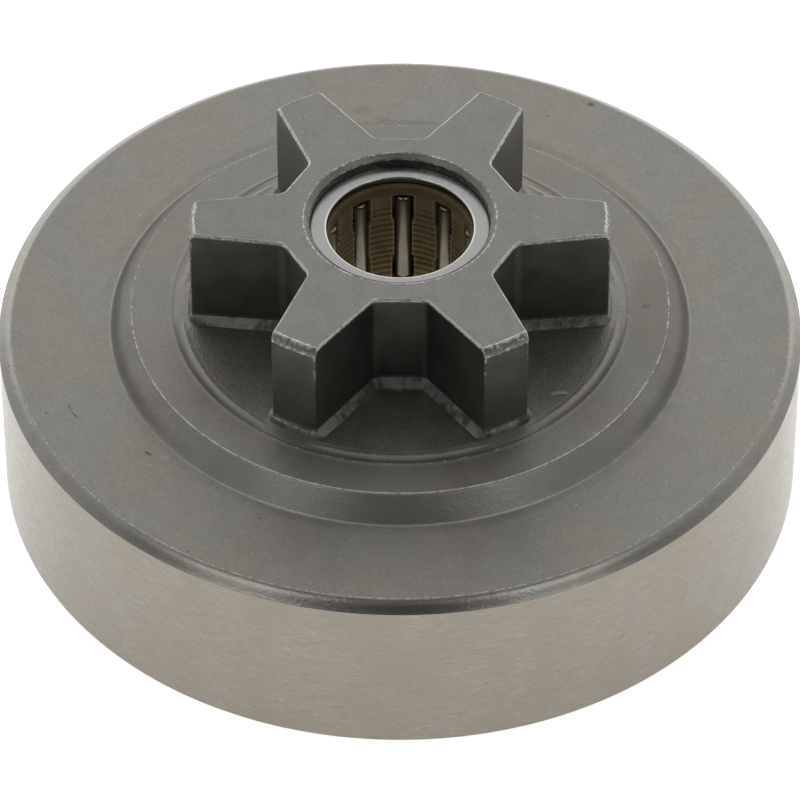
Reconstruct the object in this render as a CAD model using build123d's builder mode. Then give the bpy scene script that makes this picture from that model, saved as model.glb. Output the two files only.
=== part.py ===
from build123d import *
from math import cos, radians, sin, sqrt, tan
import os

# Driving dimensions, in millimetres and degrees

# Drum: a drawn steel cup that stands on its open rim
drum_diameter = 72.0
drum_wall = 2.6
drum_height = 16.6
web_thickness = 2.6
rim_edge_width = 1.2
rim_edge_height = 0.8
rim_edge_bulge = 0.2
inner_corner_break = 1.2

# Raised centre, pressed up out of the drum's web
centre_rise = 2.0
centre_land = 3.8
centre_slope = 1.75
centre_shoulder_width = 1.25
centre_shoulder_drop = 1.1
centre_recess_inset = 1.2

# Sprocket: star teeth on a round foot, with a hub through the drum
tooth_count = 6
tooth_height = 10.25
tooth_depth = 8.05
tooth_tip_width = 4.4
flank_angle = 8.0
tooth_root_radius = 1.0
tip_bevel_width = 0.4
tip_bevel_height = 0.85
top_edge_break = 0.2
tooth_foot = 0.7
foot_margin = 0.1
foot_rise = 0.15
hub_wall = 2.6
spigot_wall = 4.0
spigot_tail = 0.25
spigot_bevel = 0.4
bore_bevel_width = 0.5
bore_bevel_height = 0.25
seat_depth = 1.0
braze_groove_width = 0.8
braze_groove_depth = 0.2

# Needle bearing, pressed into the sprocket's bore
bearing_diameter = 16.0
bearing_length = 14.0
bearing_sink = 1.1
cup_wall = 0.45
cup_lip_thickness = 0.6
cup_lip_width = 1.5
cup_edge_break = 0.3
needle_count = 10
needle_diameter = 1.5
needle_phase = -2.5
race_clearance = 0.04
cage_thickness = 1.2
cage_race_gap = 0.15
cage_end_gap = 0.2
cage_ring_width = 1.3
pocket_side_gap = 0.06
pocket_end_gap = 0.1
pocket_guide_length = 3.9
pocket_relief = 0.19

# Heights up the axis
web_underside = drum_height - web_thickness
centre_top = drum_height + centre_rise
centre_underside = web_underside + centre_rise
seat_floor = centre_top - seat_depth
foot_top = centre_top + foot_rise
teeth_top = foot_top + tooth_height
cup_top = teeth_top - bearing_sink
cup_bottom = cup_top - bearing_length
spigot_bottom = cup_bottom - spigot_tail
bearing_middle = (cup_top + cup_bottom) / 2

# Radii out from the axis
drum_radius = drum_diameter / 2
drum_bore_radius = drum_radius - drum_wall
bore_radius = bearing_diameter / 2
root_radius = bore_radius + hub_wall
tip_radius = root_radius + tooth_depth
foot_radius = tip_radius + tooth_foot + foot_margin
seat_radius = foot_radius + braze_groove_width
spigot_radius = bore_radius + spigot_wall
centre_radius = seat_radius + centre_land
recess_radius = centre_radius - centre_recess_inset
race_radius = bore_radius - cup_wall
lip_radius = bore_radius - cup_lip_width
needle_radius = needle_diameter / 2
pitch_radius = race_radius - race_clearance - needle_radius
cage_radius = race_radius - cage_race_gap
cage_bore_radius = cage_radius - cage_thickness

# Lengths inside the bearing
cage_length = bearing_length - 2 * (cup_lip_thickness + cage_end_gap)
pocket_length = cage_length - 2 * cage_ring_width
needle_length = pocket_length - 2 * pocket_end_gap
needle_angles = [90 + needle_phase + n * 360 / needle_count for n in range(needle_count)]

os.makedirs("parts", exist_ok=True)


def corner_at(section, place):
    return section.vertices().sort_by_distance(place)[0]


# Clutch drum: one turned section, from the open rim over the web to the sprocket's seat
with BuildPart() as clutch_drum:
    with BuildSketch(Plane.XZ) as drum_section:
        with BuildLine():
            rim_edge = SagittaArc(
                (drum_radius - rim_edge_width, drum_height),
                (drum_radius, drum_height - rim_edge_height),
                rim_edge_bulge,
            )
            Polyline(
                rim_edge @ 0,
                (centre_radius + centre_slope, drum_height),
                (centre_radius + centre_shoulder_width, centre_top - centre_shoulder_drop),
                (centre_radius, centre_top),
                (seat_radius, centre_top),
                (seat_radius, seat_floor),
                (spigot_radius, seat_floor),
                (spigot_radius, centre_underside),
                (recess_radius, centre_underside),
                (recess_radius + centre_slope, web_underside),
                (drum_bore_radius, web_underside),
                (drum_bore_radius, 0),
                (drum_radius, 0),
                rim_edge @ 1,
            )
        make_face()
        inner_corner = corner_at(drum_section, (drum_bore_radius, web_underside))
        chamfer(inner_corner, length=inner_corner_break)
    revolve(axis=Axis.Z)
clutch_drum.part.label = "clutch_drum"
export_step(clutch_drum.part, "parts/clutch_drum.step")

# Gullet between two teeth, seen along its own middle line
half_pitch = radians(180 / tooth_count)
tip_half_width = tooth_tip_width / 2
tip_reach = sqrt(tip_radius**2 - tip_half_width**2)
gullet_mouth_reach = tip_reach * cos(half_pitch) + tip_half_width * sin(half_pitch)
gullet_mouth_half = tip_reach * sin(half_pitch) - tip_half_width * cos(half_pitch)
gullet_spread = tan(half_pitch + radians(flank_angle))
gullet_root_half = gullet_mouth_half - (gullet_mouth_reach - root_radius) * gullet_spread
gullet_end_reach = 2 * tip_radius
gullet_end_half = gullet_mouth_half + (gullet_end_reach - gullet_mouth_reach) * gullet_spread

# Spur sprocket: foot and spigot turned in one section, then the star, its foot and its bevels
with BuildPart() as spur_sprocket:
    with BuildSketch(Plane.XZ):
        with BuildLine():
            Polyline(
                (0, spigot_bottom),
                (spigot_radius - spigot_bevel, spigot_bottom),
                (spigot_radius, spigot_bottom + spigot_bevel),
                (spigot_radius, seat_floor),
                (seat_radius, seat_floor),
                (seat_radius, centre_top - braze_groove_depth),
                (foot_radius, centre_top - braze_groove_depth),
                (foot_radius, foot_top),
                (0, foot_top),
                close=True,
            )
        make_face()
    revolve(axis=Axis.Z)
    with BuildSketch(Plane.XY.offset(foot_top)) as star:
        Circle(tip_radius)
        with PolarLocations(0, tooth_count, start_angle=180 / tooth_count):
            Polygon(
                (root_radius, -gullet_root_half),
                (gullet_end_reach, -gullet_end_half),
                (gullet_end_reach, gullet_end_half),
                (root_radius, gullet_root_half),
                align=None,
                mode=Mode.SUBTRACT,
            )
        fillet(star.vertices().group_by(SortBy.DISTANCE)[0], radius=tooth_root_radius)
    extrude(amount=tooth_height)
    chamfer(spur_sprocket.edges(Select.LAST).group_by(Axis.Z)[0], length=tooth_foot)
    chamfer(spur_sprocket.faces().sort_by(Axis.Z)[-1].edges(), length=top_edge_break)
    with BuildSketch(Plane.XZ):
        with BuildLine():
            Polyline(
                (tip_radius - tip_bevel_width, teeth_top),
                (tip_radius + tip_bevel_width, teeth_top),
                (tip_radius + tip_bevel_width, teeth_top - 2 * tip_bevel_height),
                close=True,
            )
        make_face()
    revolve(axis=Axis.Z, mode=Mode.SUBTRACT)
    with BuildSketch(Plane.XY.offset(spigot_bottom)):
        Circle(bore_radius)
    extrude(amount=teeth_top - spigot_bottom, mode=Mode.SUBTRACT)
    bore_edges = spur_sprocket.edges(Select.LAST).filter_by(GeomType.CIRCLE)
    chamfer(
        bore_edges.group_by(Axis.Z)[-1],
        length=bore_bevel_width,
        length2=bore_bevel_height,
        reference=spur_sprocket.faces().filter_by(Plane.XY).sort_by(Axis.Z)[-1],
    )
spur_sprocket.part.label = "spur_sprocket"
export_step(spur_sprocket.part, "parts/spur_sprocket.step")

# Bearing cup: thin drawn ring with a lip turned in at each end
with BuildPart() as bearing_cup:
    with BuildSketch(Plane.XZ) as cup_section:
        with BuildLine():
            Polyline(
                (bore_radius, cup_bottom),
                (bore_radius, cup_top),
                (lip_radius, cup_top),
                (lip_radius, cup_top - cup_lip_thickness),
                (race_radius, cup_top - cup_lip_thickness),
                (race_radius, cup_bottom + cup_lip_thickness),
                (lip_radius, cup_bottom + cup_lip_thickness),
                (lip_radius, cup_bottom),
                close=True,
            )
        make_face()
        chamfer(cup_section.vertices().group_by(Axis.X)[-1], length=cup_edge_break)
    revolve(axis=Axis.Z)
bearing_cup.part.label = "bearing_cup"
export_step(bearing_cup.part, "parts/bearing_cup.step")

# Bearing cage: a ring with a pocket for each needle, narrow where it guides the needle
guide_half = needle_radius + pocket_side_gap
relief_half = guide_half + pocket_relief
pocket_planes = [
    Plane(
        origin=(0, 0, bearing_middle),
        x_dir=(-sin(radians(angle)), cos(radians(angle)), 0),
        z_dir=(cos(radians(angle)), sin(radians(angle)), 0),
    )
    for angle in needle_angles
]
with BuildPart() as bearing_cage:
    with BuildSketch(Plane.XY.offset(bearing_middle - cage_length / 2)):
        Circle(cage_radius)
        Circle(cage_bore_radius, mode=Mode.SUBTRACT)
    extrude(amount=cage_length)
    with BuildSketch(*pocket_planes):
        with BuildLine():
            Polyline(
                (0, -pocket_length / 2),
                (relief_half, -pocket_length / 2),
                (relief_half, -pocket_guide_length / 2 - pocket_relief),
                (guide_half, -pocket_guide_length / 2),
                (guide_half, pocket_guide_length / 2),
                (relief_half, pocket_guide_length / 2 + pocket_relief),
                (relief_half, pocket_length / 2),
                (0, pocket_length / 2),
            )
            mirror(about=Plane.YZ)
        make_face()
    extrude(amount=bore_radius, mode=Mode.SUBTRACT)
bearing_cage.part.label = "bearing_cage"
export_step(bearing_cage.part, "parts/bearing_cage.step")

# Needles: hardened steel rollers, one in each pocket
for number, angle in enumerate(needle_angles, start=1):
    needle_name = f"needle_{number:02d}"
    with BuildPart() as needle:
        with BuildSketch(Plane.XY.offset(bearing_middle - needle_length / 2)):
            with Locations((pitch_radius * cos(radians(angle)), pitch_radius * sin(radians(angle)))):
                Circle(needle_radius)
        extrude(amount=needle_length)
    needle.part.label = needle_name
    export_step(needle.part, f"parts/{needle_name}.step")
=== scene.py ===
import math

import bmesh
import bpy
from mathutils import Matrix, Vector


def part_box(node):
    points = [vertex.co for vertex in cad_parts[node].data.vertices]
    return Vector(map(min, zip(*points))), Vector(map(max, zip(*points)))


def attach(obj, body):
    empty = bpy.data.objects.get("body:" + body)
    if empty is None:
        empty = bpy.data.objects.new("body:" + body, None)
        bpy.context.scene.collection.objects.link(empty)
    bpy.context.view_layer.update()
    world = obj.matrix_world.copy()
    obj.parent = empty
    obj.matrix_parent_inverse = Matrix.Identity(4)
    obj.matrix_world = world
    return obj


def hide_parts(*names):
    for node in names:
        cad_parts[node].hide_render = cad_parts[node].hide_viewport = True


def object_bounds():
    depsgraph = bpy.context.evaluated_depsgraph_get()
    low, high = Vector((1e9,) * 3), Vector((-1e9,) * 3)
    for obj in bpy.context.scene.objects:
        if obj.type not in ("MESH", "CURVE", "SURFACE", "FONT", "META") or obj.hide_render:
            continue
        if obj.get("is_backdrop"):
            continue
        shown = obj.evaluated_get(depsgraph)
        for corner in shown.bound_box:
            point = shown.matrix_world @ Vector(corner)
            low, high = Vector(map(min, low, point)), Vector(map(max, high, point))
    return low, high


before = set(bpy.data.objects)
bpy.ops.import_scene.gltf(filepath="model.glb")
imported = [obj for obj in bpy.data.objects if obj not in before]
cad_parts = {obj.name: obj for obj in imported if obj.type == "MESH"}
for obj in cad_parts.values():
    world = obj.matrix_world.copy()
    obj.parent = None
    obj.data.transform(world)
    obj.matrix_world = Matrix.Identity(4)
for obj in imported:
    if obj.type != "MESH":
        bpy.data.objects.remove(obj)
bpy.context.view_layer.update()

# Clutch drum
# A cup deep-drawn from steel plate, with its middle pressed up to carry the sprocket. After hardening the
# wall is ground bright, while the web, the raised middle and the rounded rim keep their dark skin.
MM = 0.001
drum_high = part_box("clutch_drum")[1]
DRUM_RADIUS = drum_high.x / MM
WEB_THICKNESS = 2.6
WALL_THICKNESS = 2.6
INNER_CORNER = 1.2
OPEN_RIM_ROUNDING = 0.15
CENTRE_RISE = 2.0
CENTRE_LAND = 3.8
CENTRE_SLOPE = 1.97
SHOULDER_ROUNDING = 0.08
FOOT_ROUNDING = 0.35
FOOT_DIP = 0.08
FOOT_DIP_WIDTH = 1.0
CENTRE_TOP = drum_high.z / MM
WEB_TOP = CENTRE_TOP - CENTRE_RISE
SEAT_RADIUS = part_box("spur_sprocket")[1].x / MM
SEAT_FLOOR = CENTRE_TOP - 1.0
SEAT_RIDGE = 0.05
SPIGOT_RADIUS = 12.0
CENTRE_RADIUS = SEAT_RADIUS + CENTRE_LAND
CENTRE_FOOT = CENTRE_RADIUS + CENTRE_SLOPE
RECESS_RADIUS = CENTRE_RADIUS - 1.2
RECESS_SLOPE = 1.75
RECESS_ROUNDING = 0.8
RIM_EDGE_WIDTH = 1.2
RIM_EDGE_HEIGHT = 0.8
RIM_EDGE_BULGE = 0.09
RIM_EDGE_PARTS = (0, 0.15, 0.3, 0.5, 0.7, 0.85, 0.95)
BULGE_SCALE = 27 / 4
BULGE_OUT = 0.55
BULGE_UP = 0.83
DRUM_RUN = 1.2
DRUM_TURNS = 360


def rounded_outline(corners, arc_steps=5):
    """Points round a closed outline of (radius, height, rounding, wear at that corner)."""
    points = []
    for index, (x, z, rounding, wear) in enumerate(corners):
        here = Vector((x, z))
        before = Vector(corners[index - 1][:2]) - here
        after = Vector(corners[(index + 1) % len(corners)][:2]) - here
        if rounding == 0:
            points.append((x, z, wear))
            continue
        half = before.angle(after) / 2
        reach = rounding / math.tan(half)
        middle = here + (before.normalized() + after.normalized()).normalized() * rounding / math.sin(half)
        start = here + before.normalized() * reach - middle
        turn = start.angle_signed(here + after.normalized() * reach - middle)
        for step in range(arc_steps + 1):
            angle = -turn * step / arc_steps
            spoke = Vector((start.x * math.cos(angle) - start.y * math.sin(angle),
                            start.x * math.sin(angle) + start.y * math.cos(angle)))
            points.append((*(middle + spoke), wear))
    return points


def spread_points(points, longest, edge_gap=0.12, closed=True):
    """The outline with its long runs divided, and a clean point close to each worn corner."""
    spread = []
    for index, (x, z, wear) in enumerate(points):
        next_x, next_z = points[(index + 1) % len(points)][:2]
        run = math.hypot(next_x - x, next_z - z)
        spread.append((x, z, wear))
        if not closed and index == len(points) - 1:
            break
        stops = [step / math.ceil(run / longest) for step in range(1, math.ceil(run / longest))]
        if run > 3 * edge_gap:
            stops = sorted({edge_gap / run, 1 - edge_gap / run, *stops})
        spread += [(x + (next_x - x) * stop, z + (next_z - z) * stop, 0) for stop in stops]
    return spread


def smooth_mesh(mesh, sharp_degrees=38):
    """Outward faces, smooth between the mesh's sharp edges."""
    shell = bmesh.new()
    shell.from_mesh(mesh)
    bmesh.ops.recalc_face_normals(shell, faces=shell.faces)
    shell.to_mesh(mesh)
    shell.free()
    mesh.shade_smooth()
    mesh.set_sharp_from_angle(angle=math.radians(sharp_degrees))


def on_circle(radius, turn):
    return radius * math.cos(turn), radius * math.sin(turn)


def turned_mesh(name, outline, turns):
    """A mesh turned round the axis from an outline in millimetres, with its wear as an attribute."""
    places = []
    faces = []
    count = len(outline)
    for turn in range(turns):
        angle = 2 * math.pi * turn / turns
        places += [(*on_circle(x * MM, angle), z * MM) for x, z, wear in outline]
        for step in range(count):
            here = turn * count + step
            along = turn * count + (step + 1) % count
            shift = count if turn + 1 < turns else count - turns * count
            faces.append((here, here + shift, along + shift, along))
    mesh = bpy.data.meshes.new(name)
    mesh.from_pydata(places, [], faces)
    worn = mesh.attributes.new("worn", "FLOAT", "POINT")
    worn.data.foreach_set("value", [wear for turn in range(turns) for x, z, wear in outline])
    smooth_mesh(mesh)
    return mesh


def add_piece(name, mesh, material):
    piece = bpy.data.objects.new(name, mesh)
    bpy.context.scene.collection.objects.link(piece)
    mesh.materials.clear()
    mesh.materials.append(material)
    return piece


def add_node(tree, kind, settings=None, **inputs):
    """A node whose inputs are given by name or number, each as a value or as the socket that feeds it."""
    node = tree.nodes.new(kind)
    for name, value in (settings or {}).items():
        setattr(node, name, value)
    for name, value in inputs.items():
        socket = node.inputs[int(name[1:]) if name[1:].isdigit() else name.replace("_", " ")]
        if isinstance(value, bpy.types.NodeSocket):
            tree.links.new(value, socket)
        else:
            socket.default_value = value
    return node


def calculate(tree, operation, first, second=0.0):
    return add_node(tree, "ShaderNodeMath", {"operation": operation}, i0=first, i1=second).outputs[0]


def mix_values(tree, factor, first, second):
    return add_node(tree, "ShaderNodeMix", i0=factor, i2=first, i3=second).outputs[0]


def mix_colours(tree, factor, first, second, blend="MIX"):
    settings = {"data_type": "RGBA", "blend_type": blend}
    return add_node(tree, "ShaderNodeMix", settings, i0=factor, i6=first, i7=second).outputs[2]


def ramp_between(tree, value, low, high, to_low=0.0, to_high=1.0):
    settings = {"interpolation_type": "SMOOTHSTEP"}
    return add_node(tree, "ShaderNodeMapRange", settings, Value=value, i1=low, i2=high,
                    i3=to_low, i4=to_high).outputs[0]


def noise_at(tree, vector, scale, detail=3.0, seed=0.0):
    return add_node(tree, "ShaderNodeTexNoise", {"noise_dimensions": "4D"}, Vector=vector, W=seed,
                    Scale=scale, Detail=detail).outputs[0]


def stretched(tree, vector, factors):
    return add_node(tree, "ShaderNodeMapping", Vector=vector, Scale=factors).outputs[0]


def length_of(tree, vector):
    return add_node(tree, "ShaderNodeVectorMath", {"operation": "LENGTH"}, i0=vector).outputs["Value"]


def axis_distance(tree, place):
    return length_of(tree, stretched(tree, place, (1, 1, 0)))


def ring_mask(tree, radius, rise_from, rise_to, fall_from, fall_to):
    """A mask that is 1 on a ring round the axis and soft at both its edges, given in millimetres."""
    inner = ramp_between(tree, radius, rise_from * MM, rise_to * MM)
    outer = ramp_between(tree, radius, fall_from * MM, fall_to * MM, 1.0, 0.0)
    return calculate(tree, "MULTIPLY", inner, outer)


def mesh_attribute(tree, name):
    return add_node(tree, "ShaderNodeAttribute", {"attribute_name": name}).outputs["Fac"]


def bump_from(tree, height, strength, depth):
    bump = add_node(tree, "ShaderNodeBump", Height=height, Strength=strength, Distance=depth * MM)
    return bump.outputs[0]


def new_group(name, inputs, outputs):
    """An empty shader group with named sockets, and its two end nodes."""
    tree = bpy.data.node_groups.new(name, "ShaderNodeTree")
    for socket, kind in inputs:
        tree.interface.new_socket(socket, in_out="INPUT", socket_type="NodeSocket" + kind)
    for socket, kind in outputs:
        tree.interface.new_socket(socket, in_out="OUTPUT", socket_type="NodeSocket" + kind)
    return tree, tree.nodes.new("NodeGroupInput"), tree.nodes.new("NodeGroupOutput")


def use_group(tree, group, **inputs):
    return add_node(tree, "ShaderNodeGroup", {"node_tree": group}, **inputs)


def new_material(name, **constants):
    """A material with a plain shader, and its tree, shader and object coordinates."""
    material = bpy.data.materials.new(name)
    material.use_nodes = True
    tree = material.node_tree
    shader = tree.nodes["Principled BSDF"]
    for socket, value in constants.items():
        shader.inputs[socket.replace("_", " ")].default_value = value
    place = tree.nodes.new("ShaderNodeTexCoord").outputs["Object"]
    return material, tree, shader, place


def dark_skin_group():
    """Matte hardened skin: slow warm and green mottling, fine grain, dark pits and pale flecks."""
    tree, ends, out = new_group(
        "dark_skin",
        [("Place", "Vector"), ("Tint", "Color"), ("Sheen", "Float"), ("Grain", "Float"), ("Pits", "Float"),
         ("Seed", "Float")],
        [("Colour", "Color"), ("Roughness", "Float"), ("Height", "Float")],
    )
    place = ends.outputs["Place"]
    seed = ends.outputs["Seed"]
    slow = noise_at(tree, place, 110, 4.0, seed)
    cloud = noise_at(tree, place, 420, 5.0, seed)
    grain = noise_at(tree, place, 4200, 2.0, seed)
    warm = mix_colours(tree, 1.0, ends.outputs["Tint"], (1.025, 1.0, 0.965, 1), "MULTIPLY")
    green = mix_colours(tree, 1.0, ends.outputs["Tint"], (0.98, 1.0, 0.985, 1), "MULTIPLY")
    mottled = mix_colours(tree, ramp_between(tree, slow, 0.38, 0.62), green, warm)
    light = ramp_between(tree, cloud, 0.3, 0.7, 0.93, 1.07)
    grainy = calculate(tree, "MULTIPLY", calculate(tree, "SUBTRACT", grain, 0.5), ends.outputs["Grain"])
    shade = calculate(tree, "ADD", light, grainy)
    cells = add_node(tree, "ShaderNodeTexVoronoi", Vector=place, Scale=1150.0)
    chance = add_node(tree, "ShaderNodeSeparateColor", Color=cells.outputs["Color"])
    spot = ramp_between(tree, cells.outputs["Distance"], 0.10, 0.17, 1.0, 0.0)
    rare_dark = calculate(tree, "LESS_THAN", chance.outputs[0], ends.outputs["Pits"])
    rare_pale = calculate(tree, "LESS_THAN", chance.outputs[1], ends.outputs["Pits"])
    pit = calculate(tree, "MULTIPLY", spot, rare_dark)
    fleck = calculate(tree, "MULTIPLY", spot, rare_pale)
    shade = calculate(tree, "SUBTRACT", shade, calculate(tree, "MULTIPLY", pit, 0.34))
    shade = calculate(tree, "ADD", shade, calculate(tree, "MULTIPLY", fleck, 0.35))
    grey = add_node(tree, "ShaderNodeCombineColor", Red=shade, Green=shade, Blue=shade).outputs[0]
    tree.links.new(mix_colours(tree, 1.0, mottled, grey, "MULTIPLY"), out.inputs["Colour"])
    rough = calculate(tree, "ADD", ends.outputs["Sheen"], calculate(tree, "MULTIPLY", cloud, 0.16))
    tree.links.new(rough, out.inputs["Roughness"])
    fine = calculate(tree, "MULTIPLY", grain, 0.5)
    height = calculate(tree, "ADD", fine, calculate(tree, "MULTIPLY", cloud, 0.5))
    tree.links.new(calculate(tree, "SUBTRACT", height, pit), out.inputs["Height"])
    return tree


def worn_edge_group():
    """Where an edge is rubbed bright, on the drum's top edges partly a painted highlight: the mesh's own
    wear, broken up by noise.
    """
    tree, ends, out = new_group(
        "worn_edge",
        [("Place", "Vector"), ("Worn", "Float"), ("Raggedness", "Float"), ("Seed", "Float")],
        [("Mask", "Float")],
    )
    patches = noise_at(tree, ends.outputs["Place"], 2600, 4.0, ends.outputs["Seed"])
    uneven = calculate(tree, "SUBTRACT", patches, 0.5)
    broken = calculate(tree, "MULTIPLY", uneven, ends.outputs["Raggedness"])
    rubbed = calculate(tree, "ADD", ends.outputs["Worn"], broken)
    mask = ramp_between(tree, rubbed, 0.35, 0.8)
    kept = calculate(tree, "MULTIPLY", mask, ramp_between(tree, ends.outputs["Worn"], 0.02, 0.2))
    tree.links.new(kept, out.inputs["Mask"])
    return tree


dark_skin = dark_skin_group()
worn_edge = worn_edge_group()

WEB_TINT = (0.242, 0.233, 0.216, 1)
WEB_SHEEN = 0.47
RIM_TINT = (0.5, 0.49, 0.46, 1)
RIM_LIGHT = 0.05
RIM_SHEEN = 0.33
RIM_GRAIN = 3.5
SLOPE_HIGHLIGHT_TINT = (0.49, 0.49, 0.445, 1)
SLOPE_HIGHLIGHT = 0.5
SLOPE_SHEEN = 0.42
SLOPE_GRAIN = 0.7
SHADE_TINT = (0, 0, 0, 1)
RAISED_SHADE = 0.08
CREASE_PAINTED_SHADE = 0.36
WEAR_AND_HIGHLIGHT_TINT = (0.49, 0.48, 0.455, 1)
GROUND_TINT = (0.266, 0.242, 0.204, 1)
GROUND_PALE = (0.292, 0.268, 0.232, 1)
GROUND_DASH = (0.205, 0.182, 0.145, 1)
GROUND_GLINT = (0.36, 0.33, 0.275, 1)
GROUND_CLOUD = (0.262, 0.232, 0.186, 1)
GROUND_LINE = WEB_TOP - RIM_EDGE_HEIGHT + 0.06
GROUND_BLUR = 0.05


def mark_colour(tree, place, colour, x, y, turn, length, width, tint, strength):
    """The colour with one soft mark laid over it, long and narrow like a scratch or round like a stain."""
    shape = {"Location": (x * MM, y * MM, 0), "Rotation": (0, 0, math.radians(turn)),
             "Scale": (length * MM / 2, width * MM / 2, 1)}
    inside = add_node(tree, "ShaderNodeMapping", {"vector_type": "TEXTURE"}, Vector=place, **shape)
    reach = length_of(tree, inside.outputs[0])
    return mix_colours(tree, ramp_between(tree, reach, 0.4, 1.0, strength, 0.0), colour, tint)


# Single marks as x, y, turn, length, width, tint and strength
DARK_MARK = (0.05, 0.048, 0.042, 1)
PALE_MARK = (0.42, 0.41, 0.38, 1)
DRUM_MARKS = (
    (-29.2, -11.3, -70, 1.1, 0.2, DARK_MARK, 0.7), (-28.7, -12.3, -52, 1.6, 0.2, DARK_MARK, 0.7),
    (-31.2, -12.0, 20, 0.5, 0.3, DARK_MARK, 0.4), (-22.1, -17.1, -38, 1.2, 0.32, DARK_MARK, 0.8),
    (-20.6, -17.6, 10, 1.1, 0.5, PALE_MARK, 0.3), (-21.9, -18.6, -45, 0.8, 0.2, PALE_MARK, 0.45),
    (17.8, 29.2, 0, 0.9, 0.7, DARK_MARK, 0.6), (13.7, 27.6, 0, 0.35, 0.3, DARK_MARK, 0.7),
    (-3.7, 28.4, 20, 2.4, 1.4, DARK_MARK, 0.18), (-1.6, 27.2, -15, 2.0, 0.9, DARK_MARK, 0.14),
    (22.6, -1.5, 88, 21, 6.5, DARK_MARK, 0.2), (22.0, -0.4, 0, 1.2, 0.8, DARK_MARK, 0.28),
    (-32.6, -13.1, 0, 0.3, 0.25, PALE_MARK, 0.9),
)


def ground_steel(tree, place, streaks):
    """Colour of the ground wall: fine streaks, dark dashes, glints and slow clouds."""
    dashes = noise_at(tree, stretched(tree, place, (1000, 1000, 5600)), 1.0, 2.0, 9.0)
    slow = noise_at(tree, stretched(tree, place, (210, 210, 130)), 1.0, 4.0, 2.0)
    steel = mix_colours(tree, ramp_between(tree, streaks, 0.3, 0.7), GROUND_TINT, GROUND_PALE)
    steel = mix_colours(tree, ramp_between(tree, dashes, 0.62, 0.74), steel, GROUND_DASH)
    steel = mix_colours(tree, ramp_between(tree, dashes, 0.28, 0.40, 1.0, 0.0), steel, GROUND_GLINT)
    return mix_colours(tree, ramp_between(tree, slow, 0.35, 0.7, 0.0, 0.6), steel, GROUND_CLOUD)


def web_colour(tree, place, along, skin, radius, rim, slope):
    """Colour of the dark top: a paler rim, the raised middle a little darker, painted shade at the foot of
    the slope on the two sides, a painted highlight on the slope's front, and the single marks.
    """
    colour = mix_colours(tree, calculate(tree, "MULTIPLY", rim, RIM_LIGHT), skin, RIM_TINT)
    raised = ramp_between(tree, radius, (CENTRE_FOOT - 0.3) * MM, (CENTRE_FOOT + 0.1) * MM, RAISED_SHADE, 0.0)
    colour = mix_colours(tree, raised, colour, SHADE_TINT)
    # Painted shade: the crease at the foot of the slope is painted darker on the two sides, and not at the
    # front or back.
    aside = calculate(tree, "ABSOLUTE", along[0])
    sideways = ramp_between(tree, aside, 15 * MM, 26 * MM, 0.0, CREASE_PAINTED_SHADE)
    crease_painted_shade = ring_mask(tree, radius, CENTRE_FOOT - 1.2, CENTRE_FOOT - 0.5,
                       CENTRE_FOOT - 0.4, CENTRE_FOOT + 0.05)
    colour = mix_colours(tree, calculate(tree, "MULTIPLY", crease_painted_shade, sideways), colour, SHADE_TINT)
    # Painted highlight: the front of the slope is painted paler, fading out towards the back.
    front_highlight = ramp_between(tree, along[1], -24 * MM, -12 * MM, SLOPE_HIGHLIGHT, 0.0)
    colour = mix_colours(tree, calculate(tree, "MULTIPLY", slope, front_highlight), colour, SLOPE_HIGHLIGHT_TINT)
    for mark in DRUM_MARKS:
        colour = mark_colour(tree, place, colour, *mark)
    return colour


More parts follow.
